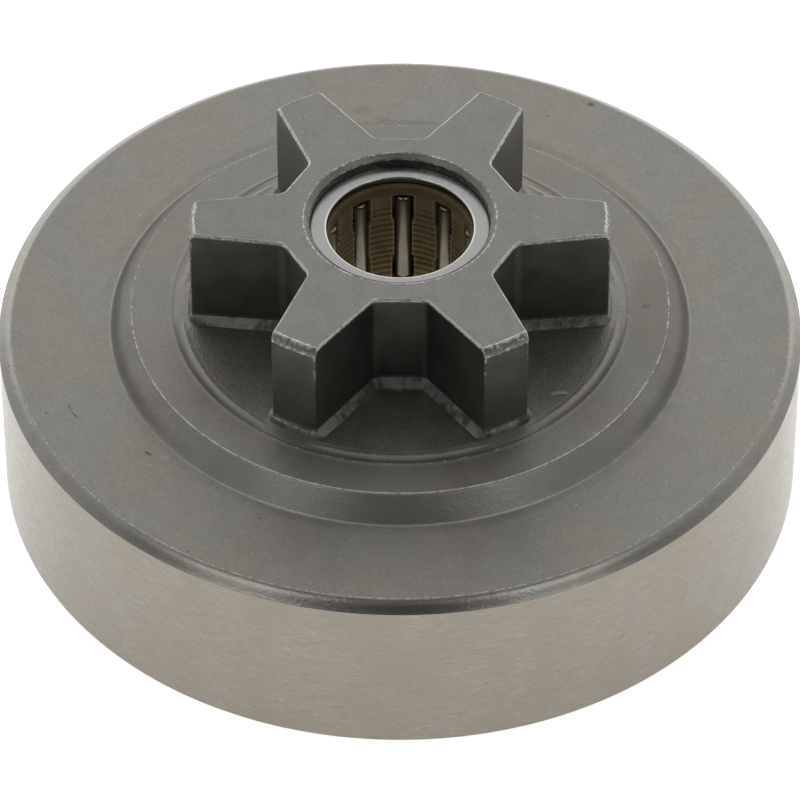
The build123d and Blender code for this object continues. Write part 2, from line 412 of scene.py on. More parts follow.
def drum_material():
    """Dark skin on top, ground steel below a slightly ragged line round the wall."""
    material, tree, shader, place = new_material("drum_steel", Metallic=1.0)
    skin = use_group(tree, dark_skin, Place=place, Tint=WEB_TINT, Sheen=WEB_SHEEN,
                     Grain=0.5, Pits=0.02, Seed=3.0).outputs
    along = add_node(tree, "ShaderNodeSeparateXYZ", Vector=place).outputs
    radius = axis_distance(tree, place)
    rim_start = DRUM_RADIUS - RIM_EDGE_WIDTH
    rim = ramp_between(tree, radius, rim_start * MM, (rim_start + 0.2) * MM)
    slope = ring_mask(tree, radius, CENTRE_RADIUS, CENTRE_RADIUS + 0.2, CENTRE_FOOT - 0.2, CENTRE_FOOT + 0.2)
    ragged = calculate(tree, "MULTIPLY", noise_at(tree, place, 700, 3.0, 5.0), 0.16 * MM)
    height = calculate(tree, "ADD", along[2], ragged)
    line_low = (GROUND_LINE - GROUND_BLUR) * MM
    line_high = (GROUND_LINE + GROUND_BLUR) * MM
    below = ramp_between(tree, height, line_low, line_high, 1.0, 0.0)
    outside = calculate(tree, "GREATER_THAN", radius, (DRUM_RADIUS - WALL_THICKNESS - 0.2) * MM)
    ground = calculate(tree, "MULTIPLY", below, outside)
    streaks = noise_at(tree, stretched(tree, place, (700, 700, 3400)), 1.0, 4.0, 7.0)
    # Painted highlight: the drum's pale edge lines are partly wear and partly a painted edge highlight,
    # painted stronger at the front than at the back.
    front_highlight_weight = ramp_between(tree, along[1], -34 * MM, 20 * MM, 1.8, 0.55)
    worn = calculate(tree, "MULTIPLY", mesh_attribute(tree, "worn"), front_highlight_weight)
    rubbed = use_group(tree, worn_edge, Place=place, Worn=worn, Raggedness=2.0, Seed=1.0).outputs["Mask"]
    dull = web_colour(tree, place, along, skin["Colour"], radius, rim, slope)
    top = mix_colours(tree, rubbed, dull, WEAR_AND_HIGHLIGHT_TINT)
    colour = mix_colours(tree, ground, top, ground_steel(tree, place, streaks))
    tree.links.new(colour, shader.inputs["Base Color"])
    scuffed = calculate(tree, "MULTIPLY", rubbed, calculate(tree, "SUBTRACT", 1.0, ground))
    tree.links.new(ramp_between(tree, scuffed, 0.0, 1.0, 1.0, 0.4), shader.inputs["Metallic"])
    rough_wall = ramp_between(tree, streaks, 0.3, 0.7, 0.30, 0.22)
    rough_top = mix_values(tree, rim, skin["Roughness"], RIM_SHEEN)
    rough_top = mix_values(tree, slope, rough_top, SLOPE_SHEEN)
    tree.links.new(mix_values(tree, ground, rough_top, rough_wall), shader.inputs["Roughness"])
    coarse = calculate(tree, "MAXIMUM", rim, calculate(tree, "MULTIPLY", slope, SLOPE_GRAIN))
    deeper = ramp_between(tree, coarse, 0.0, 1.0, 1.0, RIM_GRAIN)
    beaten = calculate(tree, "MULTIPLY", skin["Height"], deeper)
    relief = mix_values(tree, ground, beaten, streaks)
    tree.links.new(bump_from(tree, relief, 0.35, 0.03), shader.inputs["Normal"])
    return material


def rim_point(part):
    """A point of the rounded rim between the wall (0) and the web (1), fullest close to the web."""
    bulge = BULGE_SCALE * RIM_EDGE_BULGE * part**2 * (1 - part)
    return (DRUM_RADIUS - RIM_EDGE_WIDTH * part + bulge * BULGE_OUT,
            WEB_TOP - RIM_EDGE_HEIGHT * (1 - part) + bulge * BULGE_UP, 0, 0)


# The wear at the rim's top edge and at the centre's shoulder is partly a painted edge highlight.
drum_outline = spread_points(rounded_outline([
    (DRUM_RADIUS, 0, OPEN_RIM_ROUNDING, 0),
    *map(rim_point, RIM_EDGE_PARTS),
    (DRUM_RADIUS - RIM_EDGE_WIDTH, WEB_TOP, 0, 0.42),
    (CENTRE_FOOT + FOOT_DIP_WIDTH, WEB_TOP, 0.7, 0),
    (CENTRE_FOOT, WEB_TOP - FOOT_DIP, FOOT_ROUNDING, 0),
    (CENTRE_RADIUS, CENTRE_TOP, SHOULDER_ROUNDING, 0.55),
    (SEAT_RADIUS + 0.55, CENTRE_TOP, 0.25, 0),
    (SEAT_RADIUS + 0.2, CENTRE_TOP + SEAT_RIDGE, 0.2, 0.2),
    (SEAT_RADIUS, CENTRE_TOP, 0, 0),
    (SEAT_RADIUS, SEAT_FLOOR, 0, 0),
    (SPIGOT_RADIUS, SEAT_FLOOR, 0, 0),
    (SPIGOT_RADIUS, CENTRE_TOP - WEB_THICKNESS, 0, 0),
    (RECESS_RADIUS, CENTRE_TOP - WEB_THICKNESS, RECESS_ROUNDING, 0),
    (RECESS_RADIUS + RECESS_SLOPE, WEB_TOP - WEB_THICKNESS, RECESS_ROUNDING, 0),
    (DRUM_RADIUS - WALL_THICKNESS, WEB_TOP - WEB_THICKNESS, INNER_CORNER, 0),
    (DRUM_RADIUS - WALL_THICKNESS, 0, OPEN_RIM_ROUNDING, 0),
]), DRUM_RUN)
drum = add_piece("drum_shell", turned_mesh("drum_shell", drum_outline, DRUM_TURNS), drum_material())
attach(drum, "drum")
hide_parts("clutch_drum")

# Spur sprocket
# A star of six teeth, machined from one steel blank with its round foot and its hub. It is hardened, set in
# the drum's raised middle and brazed round the rim of its foot. The edges are rubbed bright, the foot rough.
sprocket_low, sprocket_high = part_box("spur_sprocket")
TEETH_TOP = sprocket_high.z / MM
SPIGOT_BOTTOM = sprocket_low.z / MM
BORE_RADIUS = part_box("bearing_cup")[1].x / MM
TOOTH_COUNT = 6
HALF_PITCH = math.pi / TOOTH_COUNT
ROOT_RADIUS = BORE_RADIUS + 2.6
TIP_RADIUS = ROOT_RADIUS + 8.05
TIP_HALF_WIDTH = 2.2
TIP_REACH = math.sqrt(TIP_RADIUS**2 - TIP_HALF_WIDTH**2)
TIP_BEVEL_WIDTH = 0.42
TIP_BEVEL_HEIGHT = 0.85
EDGE_BREAK = 0.17
FLANK_SLOPE = math.tan(math.radians(8.0))
ROOT_ROUNDING = 1.0
TIP_CORNER = 0.15
TIP_PARTS = (-0.6, -0.3, 0, 0.3, 0.6)
TOOTH_RUN = 0.34
FOOT_RADIUS = SEAT_RADIUS - 0.8
FOOT_SIZE = 0.66
FLOOR_RISE = 0.35
SPIGOT_BEVEL = 0.4
# Rows over the bore's edge: out, down, wear, roughness, waviness
BORE_ROWS = (
    (0.0, 0.45, 0.3, 0.012, 0.0), (0.02, 0.38, 0.25, 0.016, 0.02), (0.22, 0.24, 0.1, 0.016, 0.02),
    (0.42, 0.10, 0.15, 0.016, 0.02), (0.56, 0.0, 0.6, 0.01, 0.03), (0.66, 0.0, 0.3, 0.0, 0.01),
    (0.80, 0.0, 0.0, 0.0, 0.0),
)
# Rows over the broken top edge: inward, down, wear along a flank, wear on a tip
EDGE_ROWS = ((1.0, 0.0, 0.8, 0.9), (0.62, 0.30, 0.9, 0.4), (0.28, 0.62, 0.8, 0.3), (0.0, 1.0, 0.6, 0.5))
TOP_PARTS = (0.25, 0.5, 0.75, 0.9, 0.97)
FLANK_PARTS = (0.03, 0.1, 0.2, 0.3, 0.4, 0.5, 0.6, 0.7, 0.8, 0.9, 0.97)
# A tooth's foot as out and up: a straight ramp along the flanks, a narrow bead below the tip
FOOT_RAMP = ((0.0, 1.0), (0.2, 0.8), (0.4, 0.6), (0.6, 0.4), (0.8, 0.2), (1.0, 0.0))
FOOT_BEAD = ((0.0, 1.0), (0.16, 0.82), (0.40, 0.66), (0.66, 0.50), (0.88, 0.26), (1.0, 0.0))
BEAD_REACH = 0.42
FLOOR_ROWS = 16
# Rows over the brazed seam: out, lift, wear, roughness
SEAM_ROWS = (
    (-0.13, 0.02, 0.0, 0.016), (-0.05, 0.065, 0.3, 0.01), (0.02, 0.08, 0.35, 0.006),
    (0.09, 0.06, 0.2, 0.004), (0.18, 0.01, 0.0, 0.004), (0.30, -0.035, 0.0, 0.004),
    (0.44, -0.055, 0.0, 0.004), (0.58, -0.045, 0.0, 0.0), (0.70, -0.02, 0.0, 0.0),
    (0.80, 0.0, 0.0, 0.0),
)
# Roughness and waviness of each face, as heights in millimetres
FLANK_FINISH = (0.004, 0.008)
FOOT_FINISH = (0.03, 0.07)
FLOOR_FINISH = (0.022, 0.02)
SEAM_WAVINESS = 0.015


def unit_clamp(value):
    return max(0, min(1, value))


def tooth_outline():
    """One tooth from the middle of one gullet to the next, along +X, as (x, y, wear)."""
    gullet_x, gullet_y = on_circle(ROOT_RADIUS, HALF_PITCH)
    flank_y = TIP_HALF_WIDTH + TIP_REACH * FLANK_SLOPE
    fall = math.tan(HALF_PITCH)
    root_x = (gullet_y + gullet_x / fall - flank_y) / (1 / fall - FLANK_SLOPE)
    root_y = flank_y - root_x * FLANK_SLOPE
    tip_turn = math.asin(TIP_HALF_WIDTH / TIP_RADIUS)
    corners = [
        (gullet_x, -gullet_y, 0, 0),
        (root_x, -root_y, ROOT_ROUNDING, 0),
        (TIP_REACH, -TIP_HALF_WIDTH, TIP_CORNER, 1),
        *[(*on_circle(TIP_RADIUS, part * tip_turn), 0, 0) for part in TIP_PARTS],
        (TIP_REACH, TIP_HALF_WIDTH, TIP_CORNER, 1),
        (root_x, root_y, ROOT_ROUNDING, 0),
        (gullet_x, gullet_y, 0, 0),
    ]
    return spread_points(rounded_outline(corners, 4), TOOTH_RUN, closed=False)


def outward_normals(outline):
    """The outward direction at each point of a tooth's outline."""
    normals = []
    for index in range(len(outline)):
        before = outline[max(index - 1, 0)]
        after = outline[min(index + 1, len(outline) - 1)]
        normals.append(Vector((after[1] - before[1], before[0] - after[0])).normalized())
    end = Vector(on_circle(1, HALF_PITCH))
    normals[0] = Vector((end.x, -end.y))
    normals[-1] = end
    return normals


def top_edge_points(outline, normals):
    """The inner line of the broken top edge, further in on the tips, where the bevel is longer."""
    points = []
    for (x, y, wear), normal in zip(outline, normals):
        inner_x = x - normal.x * EDGE_BREAK
        inner_y = y - normal.y * EDGE_BREAK
        shrink = min(1, (TIP_RADIUS - TIP_BEVEL_WIDTH) / math.hypot(inner_x, inner_y))
        inner_x *= shrink
        half_width = TIP_HALF_WIDTH + (TIP_REACH - inner_x) * FLANK_SLOPE - EDGE_BREAK
        inner_y = max(-half_width, min(half_width, inner_y * shrink)) if shrink < 1 else inner_y
        points.append((inner_x, inner_y, TEETH_TOP))
    return points


def floor_height(radius):
    return CENTRE_TOP + FLOOR_RISE * max(0, FOOT_RADIUS - radius) / (FOOT_RADIUS - ROOT_RADIUS)


def tooth_rows():
    """Rows of (x, y, z, wear, roughness, waviness) round one sixth of the sprocket, from the bore's edge
    over the tooth, its foot and the seam to the hub's lower end."""
    outline = tooth_outline()
    normals = outward_normals(outline)
    turns = [math.atan2(y, x) for x, y, wear in outline]
    tipness = [unit_clamp((math.hypot(x, y) - TIP_RADIUS + 0.3) / 0.25) for x, y, wear in outline]
    gullet = [unit_clamp((abs(turn) / HALF_PITCH - 0.17) / 0.2) for turn in turns]
    rows = []

    def circle_row(radius, height, worn=0.0, rough=0.0, wavy=0.0):
        rows.append([(*on_circle(radius, turn), height, worn, rough, wavy) for turn in turns])

    def outline_row(offsets, heights, worn, finish):
        rows.append([
            (x + normal.x * offset, y + normal.y * offset, height, level, *finish)
            for (x, y, wear), normal, offset, height, level in zip(outline, normals, offsets, heights, worn)
        ])

    def between_rows(first, second, parts, rough, wavy):
        for part in parts:
            row = []
            for start, stop, coarse in zip(first, second, rough):
                spot = [one + (two - one) * part for one, two in zip(start[:3], stop[:3])]
                row.append((*spot, 0.0, coarse, wavy))
            rows.append(row)

    for out, down, worn, rough, wavy in BORE_ROWS:
        circle_row(BORE_RADIUS + out, TEETH_TOP - down, worn, rough, wavy)
    top_edge = top_edge_points(outline, normals)
    between_rows(rows[-1], top_edge, TOP_PARTS, [0.0] * len(outline), 0.0)
    depths = [EDGE_BREAK + (TIP_BEVEL_HEIGHT - EDGE_BREAK) * tip for tip in tipness]
    for inward, down, edge, bevel in EDGE_ROWS:
        rows.append([
            (x + (top[0] - x) * inward, y + (top[1] - y) * inward, TEETH_TOP - down * depth,
             edge + (bevel - edge) * tip, 0.008 + 0.014 * tip, 0.014 + 0.016 * tip)
            for (x, y, wear), top, depth, tip in zip(outline, top_edge, depths, tipness)
        ])
    foot_tops = [floor_height(math.hypot(x, y)) + FOOT_SIZE for x, y, wear in outline]
    for part in FLANK_PARTS:
        heights = [(TEETH_TOP - depth) * (1 - part) + foot * part for depth, foot in zip(depths, foot_tops)]
        worn = [wear * (0.5 - 0.5 * part) for x, y, wear in outline]
        outline_row([0.0] * len(outline), heights, worn, FLANK_FINISH)
    for (out_ramp, up_ramp), (out_bead, up_bead) in zip(FOOT_RAMP, FOOT_BEAD):
        outs = [FOOT_SIZE * (out_ramp + (BEAD_REACH * out_bead - out_ramp) * tip) for tip in tipness]
        ups = [FOOT_SIZE * (up_ramp + (up_bead - up_ramp) * tip) for tip in tipness]
        heights = [
            floor_height(math.hypot(x, y) + out) + up for (x, y, wear), out, up in zip(outline, outs, ups)
        ]
        worn = [0.5 * tip * (0.1 < out_bead < 0.5) for tip in tipness]
        outline_row(outs, heights, worn, FOOT_FINISH)
    rim_row = [(*on_circle(FOOT_RADIUS, turn), CENTRE_TOP) for turn in turns]
    floor_parts = [step / FLOOR_ROWS for step in range(1, FLOOR_ROWS)]
    between_rows(rows[-1], rim_row, floor_parts, [FLOOR_FINISH[0] * part for part in gullet], FLOOR_FINISH[1])
    for out, lift, worn, rough in SEAM_ROWS:
        radius = FOOT_RADIUS + out
        rows.append([
            (*on_circle(radius, turn), CENTRE_TOP + lift * part, worn * part, rough * part, SEAM_WAVINESS)
            for turn, part in zip(turns, gullet)
        ])
    circle_row(SEAT_RADIUS, SEAT_FLOOR)
    circle_row(SPIGOT_RADIUS, SEAT_FLOOR)
    circle_row(SPIGOT_RADIUS, SPIGOT_BOTTOM + SPIGOT_BEVEL)
    circle_row(SPIGOT_RADIUS - SPIGOT_BEVEL, SPIGOT_BOTTOM)
    circle_row(BORE_RADIUS, SPIGOT_BOTTOM)
    return rows


def tooth_mesh():
    """One sixth of the sprocket as a closed strip of rows, with its wear and its roughness."""
    rows = tooth_rows()
    count = len(rows[0])
    places = [tuple(MM * value for value in spot[:3]) for row in rows for spot in row]
    faces = []
    for row in range(len(rows)):
        for column in range(count - 1):
            here = row * count + column
            there = (row + 1) % len(rows) * count + column
            faces.append((here, here + 1, there + 1, there))
    mesh = bpy.data.meshes.new("sprocket_tooth")
    mesh.from_pydata(places, [], faces)
    for index, name in ((3, "worn"), (4, "rough"), (5, "wavy")):
        attribute = mesh.attributes.new(name, "FLOAT", "POINT")
        attribute.data.foreach_set("value", [spot[index] for row in rows for spot in row])
    return mesh


# Noise cells to a metre, and how far the noise reaches for a height of one
ROUGH_SCALE = 1900
WAVY_SCALE = 450
NOISE_SPAN = 2.6


def ring_tree():
    """Copies of a mesh round the axis, joined, with the roughness their attributes ask for."""
    tree = bpy.data.node_groups.new("copies_round_axis", "GeometryNodeTree")
    for name, kind in (("Geometry", "Geometry"), ("Copies", "Int"), ("First Angle", "Float"),
                       ("Ring Radius", "Float"), ("Merge Distance", "Float"), ("Seed", "Float"),
                       ("Material", "Material")):
        tree.interface.new_socket(name, in_out="INPUT", socket_type="NodeSocket" + kind)
    tree.interface.new_socket("Geometry", in_out="OUTPUT", socket_type="NodeSocketGeometry")
    ends = tree.nodes.new("NodeGroupInput").outputs
    out = tree.nodes.new("NodeGroupOutput")
    step = calculate(tree, "DIVIDE", 2 * math.pi, ends["Copies"])
    index = tree.nodes.new("GeometryNodeInputIndex").outputs[0]
    turn = calculate(tree, "ADD", calculate(tree, "MULTIPLY", index, step), ends["First Angle"])
    along_x = calculate(tree, "MULTIPLY", calculate(tree, "COSINE", turn), ends["Ring Radius"])
    along_y = calculate(tree, "MULTIPLY", calculate(tree, "SINE", turn), ends["Ring Radius"])
    spot = add_node(tree, "ShaderNodeCombineXYZ", X=along_x, Y=along_y).outputs[0]
    points = add_node(tree, "GeometryNodePoints", Count=ends["Copies"], Position=spot)
    euler = add_node(tree, "ShaderNodeCombineXYZ", Z=turn).outputs[0]
    rotation = add_node(tree, "FunctionNodeEulerToRotation", Euler=euler).outputs[0]
    copies = add_node(tree, "GeometryNodeInstanceOnPoints", Points=points.outputs[0],
                      Instance=ends["Geometry"], Rotation=rotation)
    solid = add_node(tree, "GeometryNodeRealizeInstances", Geometry=copies.outputs[0])
    joined = add_node(tree, "GeometryNodeMergeByDistance", Geometry=solid.outputs[0],
                      Distance=ends["Merge Distance"])
    place = tree.nodes.new("GeometryNodeInputPosition").outputs[0]
    lift = None
    for name, scale in (("rough", ROUGH_SCALE), ("wavy", WAVY_SCALE)):
        named = add_node(tree, "GeometryNodeInputNamedAttribute", {"data_type": "FLOAT"}, Name=name)
        amount = calculate(tree, "MULTIPLY", named.outputs[0], NOISE_SPAN * MM)
        height = calculate(tree, "SUBTRACT", noise_at(tree, place, scale, 2.0, ends["Seed"]), 0.5)
        height = calculate(tree, "MULTIPLY", height, amount)
        lift = height if lift is None else calculate(tree, "ADD", lift, height)
    normal = tree.nodes.new("GeometryNodeInputNormal").outputs[0]
    offset = add_node(tree, "ShaderNodeVectorMath", {"operation": "SCALE"}, i0=normal, Scale=lift)
    moved = add_node(tree, "GeometryNodeSetPosition", Geometry=joined.outputs[0], Offset=offset.outputs[0])
    dressed = add_node(tree, "GeometryNodeSetMaterial", Geometry=moved.outputs[0],
                       Material=ends["Material"])
    tree.links.new(dressed.outputs[0], out.inputs[0])
    return tree


copies_round_axis = ring_tree()


def ring_mesh(name, mesh, material, **inputs):
    """The plain mesh that the copying tree makes from one piece."""
    piece = bpy.data.objects.new(name, mesh)
    bpy.context.scene.collection.objects.link(piece)
    ring = piece.modifiers.new("ring", "NODES")
    ring.node_group = copies_round_axis
    inputs["Material"] = material
    for socket in copies_round_axis.interface.items_tree:
        key = socket.name.replace(" ", "_")
        if socket.in_out == "INPUT" and key in inputs:
            ring[socket.identifier] = inputs[key]
    graph = bpy.context.evaluated_depsgraph_get()
    made = bpy.data.meshes.new_from_object(piece.evaluated_get(graph))
    made.name = name
    piece.modifiers.remove(ring)
    bpy.data.objects.remove(piece)
    return made


STAR_TINT = (0.164, 0.163, 0.153, 1)
STAR_SHEEN = 0.30
FLOOR_TINT = (0.97, 0.97, 0.91, 1)
FOOT_DARK = (0.085, 0.085, 0.075, 1)
FOOT_PALE = (0.25, 0.25, 0.23, 1)
FLANGE_MARKS = (
    (14.1, -11.6, 8, 2.1, 0.65, PALE_MARK, 0.6), (14.15, -11.85, 6, 1.3, 0.3, DARK_MARK, 0.7),
)


def sprocket_material():
    """Dark skin, darker where it was left rough, rubbed pale along the edges."""
    material, tree, shader, place = new_material("sprocket_steel", Metallic=1.0)
    radius = axis_distance(tree, place)
    flange = ramp_between(tree, radius, (TIP_RADIUS + 0.2) * MM, (TIP_RADIUS + 0.4) * MM)
    star_tint = mix_colours(tree, flange, STAR_TINT, WEB_TINT)
    sheen = ramp_between(tree, flange, 0.0, 1.0, STAR_SHEEN, WEB_SHEEN)
    skin = use_group(tree, dark_skin, Place=place, Tint=star_tint, Sheen=sheen,
                     Grain=0.5, Pits=0.03, Seed=11.0).outputs
    rough = mesh_attribute(tree, "rough")
    worn = mesh_attribute(tree, "worn")
    rubbed = use_group(tree, worn_edge, Place=place, Worn=worn, Raggedness=1.9, Seed=6.0).outputs["Mask"]
    left_rough = ramp_between(tree, rough, 0.008, 0.02)
    floor_colour = mix_colours(tree, 1.0, skin["Colour"], FLOOR_TINT, "MULTIPLY")
    colour = mix_colours(tree, left_rough, skin["Colour"], floor_colour)
    foot = ramp_between(tree, rough, 0.024, 0.029)
    facets = noise_at(tree, stretched(tree, place, (1, 1, 0.4)), 850, 4.0, 5.0)
    scaly = mix_colours(tree, ramp_between(tree, facets, 0.37, 0.58), FOOT_DARK, FOOT_PALE)
    # Painted glints: pale sparkle specks on the rough floor.
    sparkle = ramp_between(tree, noise_at(tree, place, 4600, 3.0, 8.0), 0.59, 0.74, 0.0, 0.36)
    colour = mix_colours(tree, calculate(tree, "MULTIPLY", sparkle, left_rough), colour, WEAR_AND_HIGHLIGHT_TINT)
    colour = mix_colours(tree, foot, colour, scaly)
    for mark in FLANGE_MARKS:
        colour = mark_colour(tree, place, colour, *mark)
    tree.links.new(mix_colours(tree, rubbed, colour, WEAR_AND_HIGHLIGHT_TINT), shader.inputs["Base Color"])
    dull = calculate(tree, "MULTIPLY", rubbed, 0.6)
    for mask, amount in ((foot, 0.7), (left_rough, 0.15)):
        dull = calculate(tree, "MAXIMUM", dull, calculate(tree, "MULTIPLY", mask, amount))
    tree.links.new(calculate(tree, "SUBTRACT", 1.0, dull), shader.inputs["Metallic"])
    coarse = calculate(tree, "MULTIPLY", left_rough, 0.08)
    tree.links.new(calculate(tree, "ADD", coarse, skin["Roughness"]), shader.inputs["Roughness"])
    deeper = ramp_between(tree, left_rough, 0.0, 1.0, 1.0, 4.0)
    relief = calculate(tree, "MULTIPLY", skin["Height"], deeper)
    tree.links.new(bump_from(tree, relief, 0.5, 0.04), shader.inputs["Normal"])
    return material


sprocket_steel = sprocket_material()
star_mesh = ring_mesh("sprocket_star", tooth_mesh(), sprocket_steel, Copies=TOOTH_COUNT, First_Angle=0.0,
                      Ring_Radius=0.0, Merge_Distance=0.002 * MM, Seed=4.0)
smooth_mesh(star_mesh)
star = add_piece("sprocket_star", star_mesh, sprocket_steel)
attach(star, "drum")
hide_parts("spur_sprocket")

# Bearing cup
# The needle bearing's outer ring, drawn from thin steel with a lip turned in at each end, hardened and
# pressed into the sprocket's bore. It is cleaner and paler than the sprocket round it.
cup_low, cup_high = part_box("bearing_cup")
CUP_TOP = cup_high.z / MM
CUP_BOTTOM = cup_low.z / MM
RACE_RADIUS = BORE_RADIUS - 0.45
LIP_RADIUS = BORE_RADIUS - 1.5
LIP_THICKNESS = 0.6
LIP_ROUNDING = 0.16
CUP_RADIUS = BORE_RADIUS - 0.005
CUP_RUN = 0.8
CUP_EDGE_GAP = 0.06
CUP_TURNS = 160
CUP_TINT = (0.248, 0.248, 0.248, 1)
CUP_PALE = (0.275, 0.275, 0.271, 1)
CUP_COOL = (0.262, 0.265, 0.275, 1)
CUP_RACE_SHADE = (0.055, 0.048, 0.036, 1)
CUP_RUBBED = (0.50, 0.49, 0.46, 1)


def cup_material():
    """Clean drawn steel, with painted shade inside the race below the lip, rubbed pale along the lip's edge.
    """
    material, tree, shader, place = new_material("bearing_steel", Metallic=1.0)
    streaks = noise_at(tree, place, 1800, 4.0, 8.0)
    slow = noise_at(tree, place, 260, 3.0, 5.0)
    colour = mix_colours(tree, ramp_between(tree, streaks, 0.3, 0.7), CUP_TINT, CUP_PALE)
    colour = mix_colours(tree, ramp_between(tree, slow, 0.5, 0.75, 0.0, 0.5), colour, CUP_COOL)
    height = add_node(tree, "ShaderNodeSeparateXYZ", Vector=place).outputs[2]
    # Painted shade: the cup's inside below its top face is painted dark.
    inside = calculate(tree, "LESS_THAN", axis_distance(tree, place), (RACE_RADIUS + 0.05) * MM)
    below_lip = calculate(tree, "LESS_THAN", height, (CUP_TOP - 0.2) * MM)
    race_shade = calculate(tree, "MULTIPLY", inside, below_lip)
    colour = mix_colours(tree, race_shade, colour, CUP_RACE_SHADE)
    worn = mesh_attribute(tree, "worn")
    rubbed = use_group(tree, worn_edge, Place=place, Worn=worn, Raggedness=0.3, Seed=2.0).outputs["Mask"]
    tree.links.new(mix_colours(tree, rubbed, colour, CUP_RUBBED), shader.inputs["Base Color"])
    tree.links.new(ramp_between(tree, streaks, 0.25, 0.75, 0.25, 0.36), shader.inputs["Roughness"])
    tree.links.new(bump_from(tree, streaks, 0.15, 0.01), shader.inputs["Normal"])
    return material


cup_outline = spread_points(rounded_outline([
    (CUP_RADIUS, CUP_BOTTOM, 0.4, 0),
    (CUP_RADIUS, CUP_TOP, 0.15, 0),
    (LIP_RADIUS, CUP_TOP, LIP_ROUNDING, 1),
    (LIP_RADIUS, CUP_TOP - LIP_THICKNESS, LIP_ROUNDING, 0),
    (RACE_RADIUS, CUP_TOP - LIP_THICKNESS, 0, 0),
    (RACE_RADIUS, CUP_BOTTOM + LIP_THICKNESS, 0, 0),
    (LIP_RADIUS, CUP_BOTTOM + LIP_THICKNESS, LIP_ROUNDING, 0),
    (LIP_RADIUS, CUP_BOTTOM, LIP_ROUNDING, 1),
]), CUP_RUN, CUP_EDGE_GAP)
cup = add_piece("bearing_ring", turned_mesh("bearing_ring", cup_outline, CUP_TURNS), cup_material())
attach(cup, "drum")
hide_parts("bearing_cup")

# Bearing cage
# A moulded brown plastic cage that spaces the needles: a ring at each end and ten bars between them. The
# bars are ribbed across their inner face and wider in the middle, where they guide the needles.
cage_low, cage_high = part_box("bearing_cage")
CAGE_TOP = cage_high.z / MM
CAGE_BOTTOM = cage_low.z / MM
CAGE_RADIUS = RACE_RADIUS - 0.15
CAGE_BORE = CAGE_RADIUS - 1.2
CAGE_RING = 1.3
CAGE_OUTER_CORNER = 0.15
CAGE_INNER_CORNER = 0.42
CAGE_RUN = 0.6
CAGE_MIDDLE = (CAGE_TOP + CAGE_BOTTOM) / 2
NEEDLE_RADIUS = 0.75
NEEDLE_COUNT = 10
POCKET_RELIEF = 0.19
GUIDE_HALF = NEEDLE_RADIUS + 0.06
RELIEF_HALF = GUIDE_HALF + POCKET_RELIEF
GUIDE_LENGTH = 3.9
RIB_PITCH = 0.635
RIB_DEPTH = 0.2
RIB_FADE = 2.2
ROWS_PER_RIB = 8
BAR_OVERLAP = 0.25
BAR_CORNER = 0.5
CAGE_TINT = (0.145, 0.103, 0.045, 1)
CAGE_PALE = (0.205, 0.148, 0.068, 1)
FIBRE_TINT = (0.30, 0.235, 0.14, 1)
BAR_EDGE_TINT = (0.46, 0.37, 0.23, 1)
CAGE_RING_SHADE = (0.03, 0.028, 0.02, 1)


def bar_mesh():
    """One ribbed bar along +X between two pockets, its ends inside the cage's rings."""
    reach = (CAGE_TOP - CAGE_BOTTOM) / 2 - CAGE_RING + BAR_OVERLAP
    rows = math.ceil(2 * reach / RIB_PITCH * ROWS_PER_RIB)
    places = []
    wear = []
    for row in range(rows + 1):
        height = -reach + 2 * reach * row / rows
        slope = unit_clamp((abs(height) - GUIDE_LENGTH / 2) / POCKET_RELIEF)
        side = GUIDE_HALF + (RELIEF_HALF - GUIDE_HALF) * slope
        rib = 0.5 - 0.5 * math.cos(2 * math.pi * height / RIB_PITCH)
        inner = CAGE_BORE + RIB_DEPTH * unit_clamp((reach - abs(height)) / RIB_FADE) * rib**2
        section = [(inner, across) for across in (-1, -0.86, -0.5, 0, 0.5, 0.86, 1)]
        section.append((CAGE_RADIUS - BAR_CORNER, 1))
        section += [(CAGE_RADIUS, across) for across in (0.96, 0.5, 0, -0.5, -0.96)]
        section.append((CAGE_RADIUS - BAR_CORNER, -1))
        for radius, across in section:
            turn = across * (math.pi / NEEDLE_COUNT - math.asin(side / radius))
            x, y = on_circle(radius * MM, turn)
            places.append((x, y, (CAGE_MIDDLE + height) * MM))
            wear.append(1.0 if radius == inner and abs(across) == 1 else 0.0)
    count = len(section)
    faces = [
        (row * count + step, row * count + (step + 1) % count,
         (row + 1) * count + (step + 1) % count, (row + 1) * count + step)
        for row in range(rows) for step in range(count)
    ]
    faces += [tuple(range(count)), tuple(range(rows * count, (rows + 1) * count))]
    mesh = bpy.data.meshes.new("cage_bar")
    mesh.from_pydata(places, [], faces)
    attribute = mesh.attributes.new("worn", "FLOAT", "POINT")
    attribute.data.foreach_set("value", wear)
    return mesh


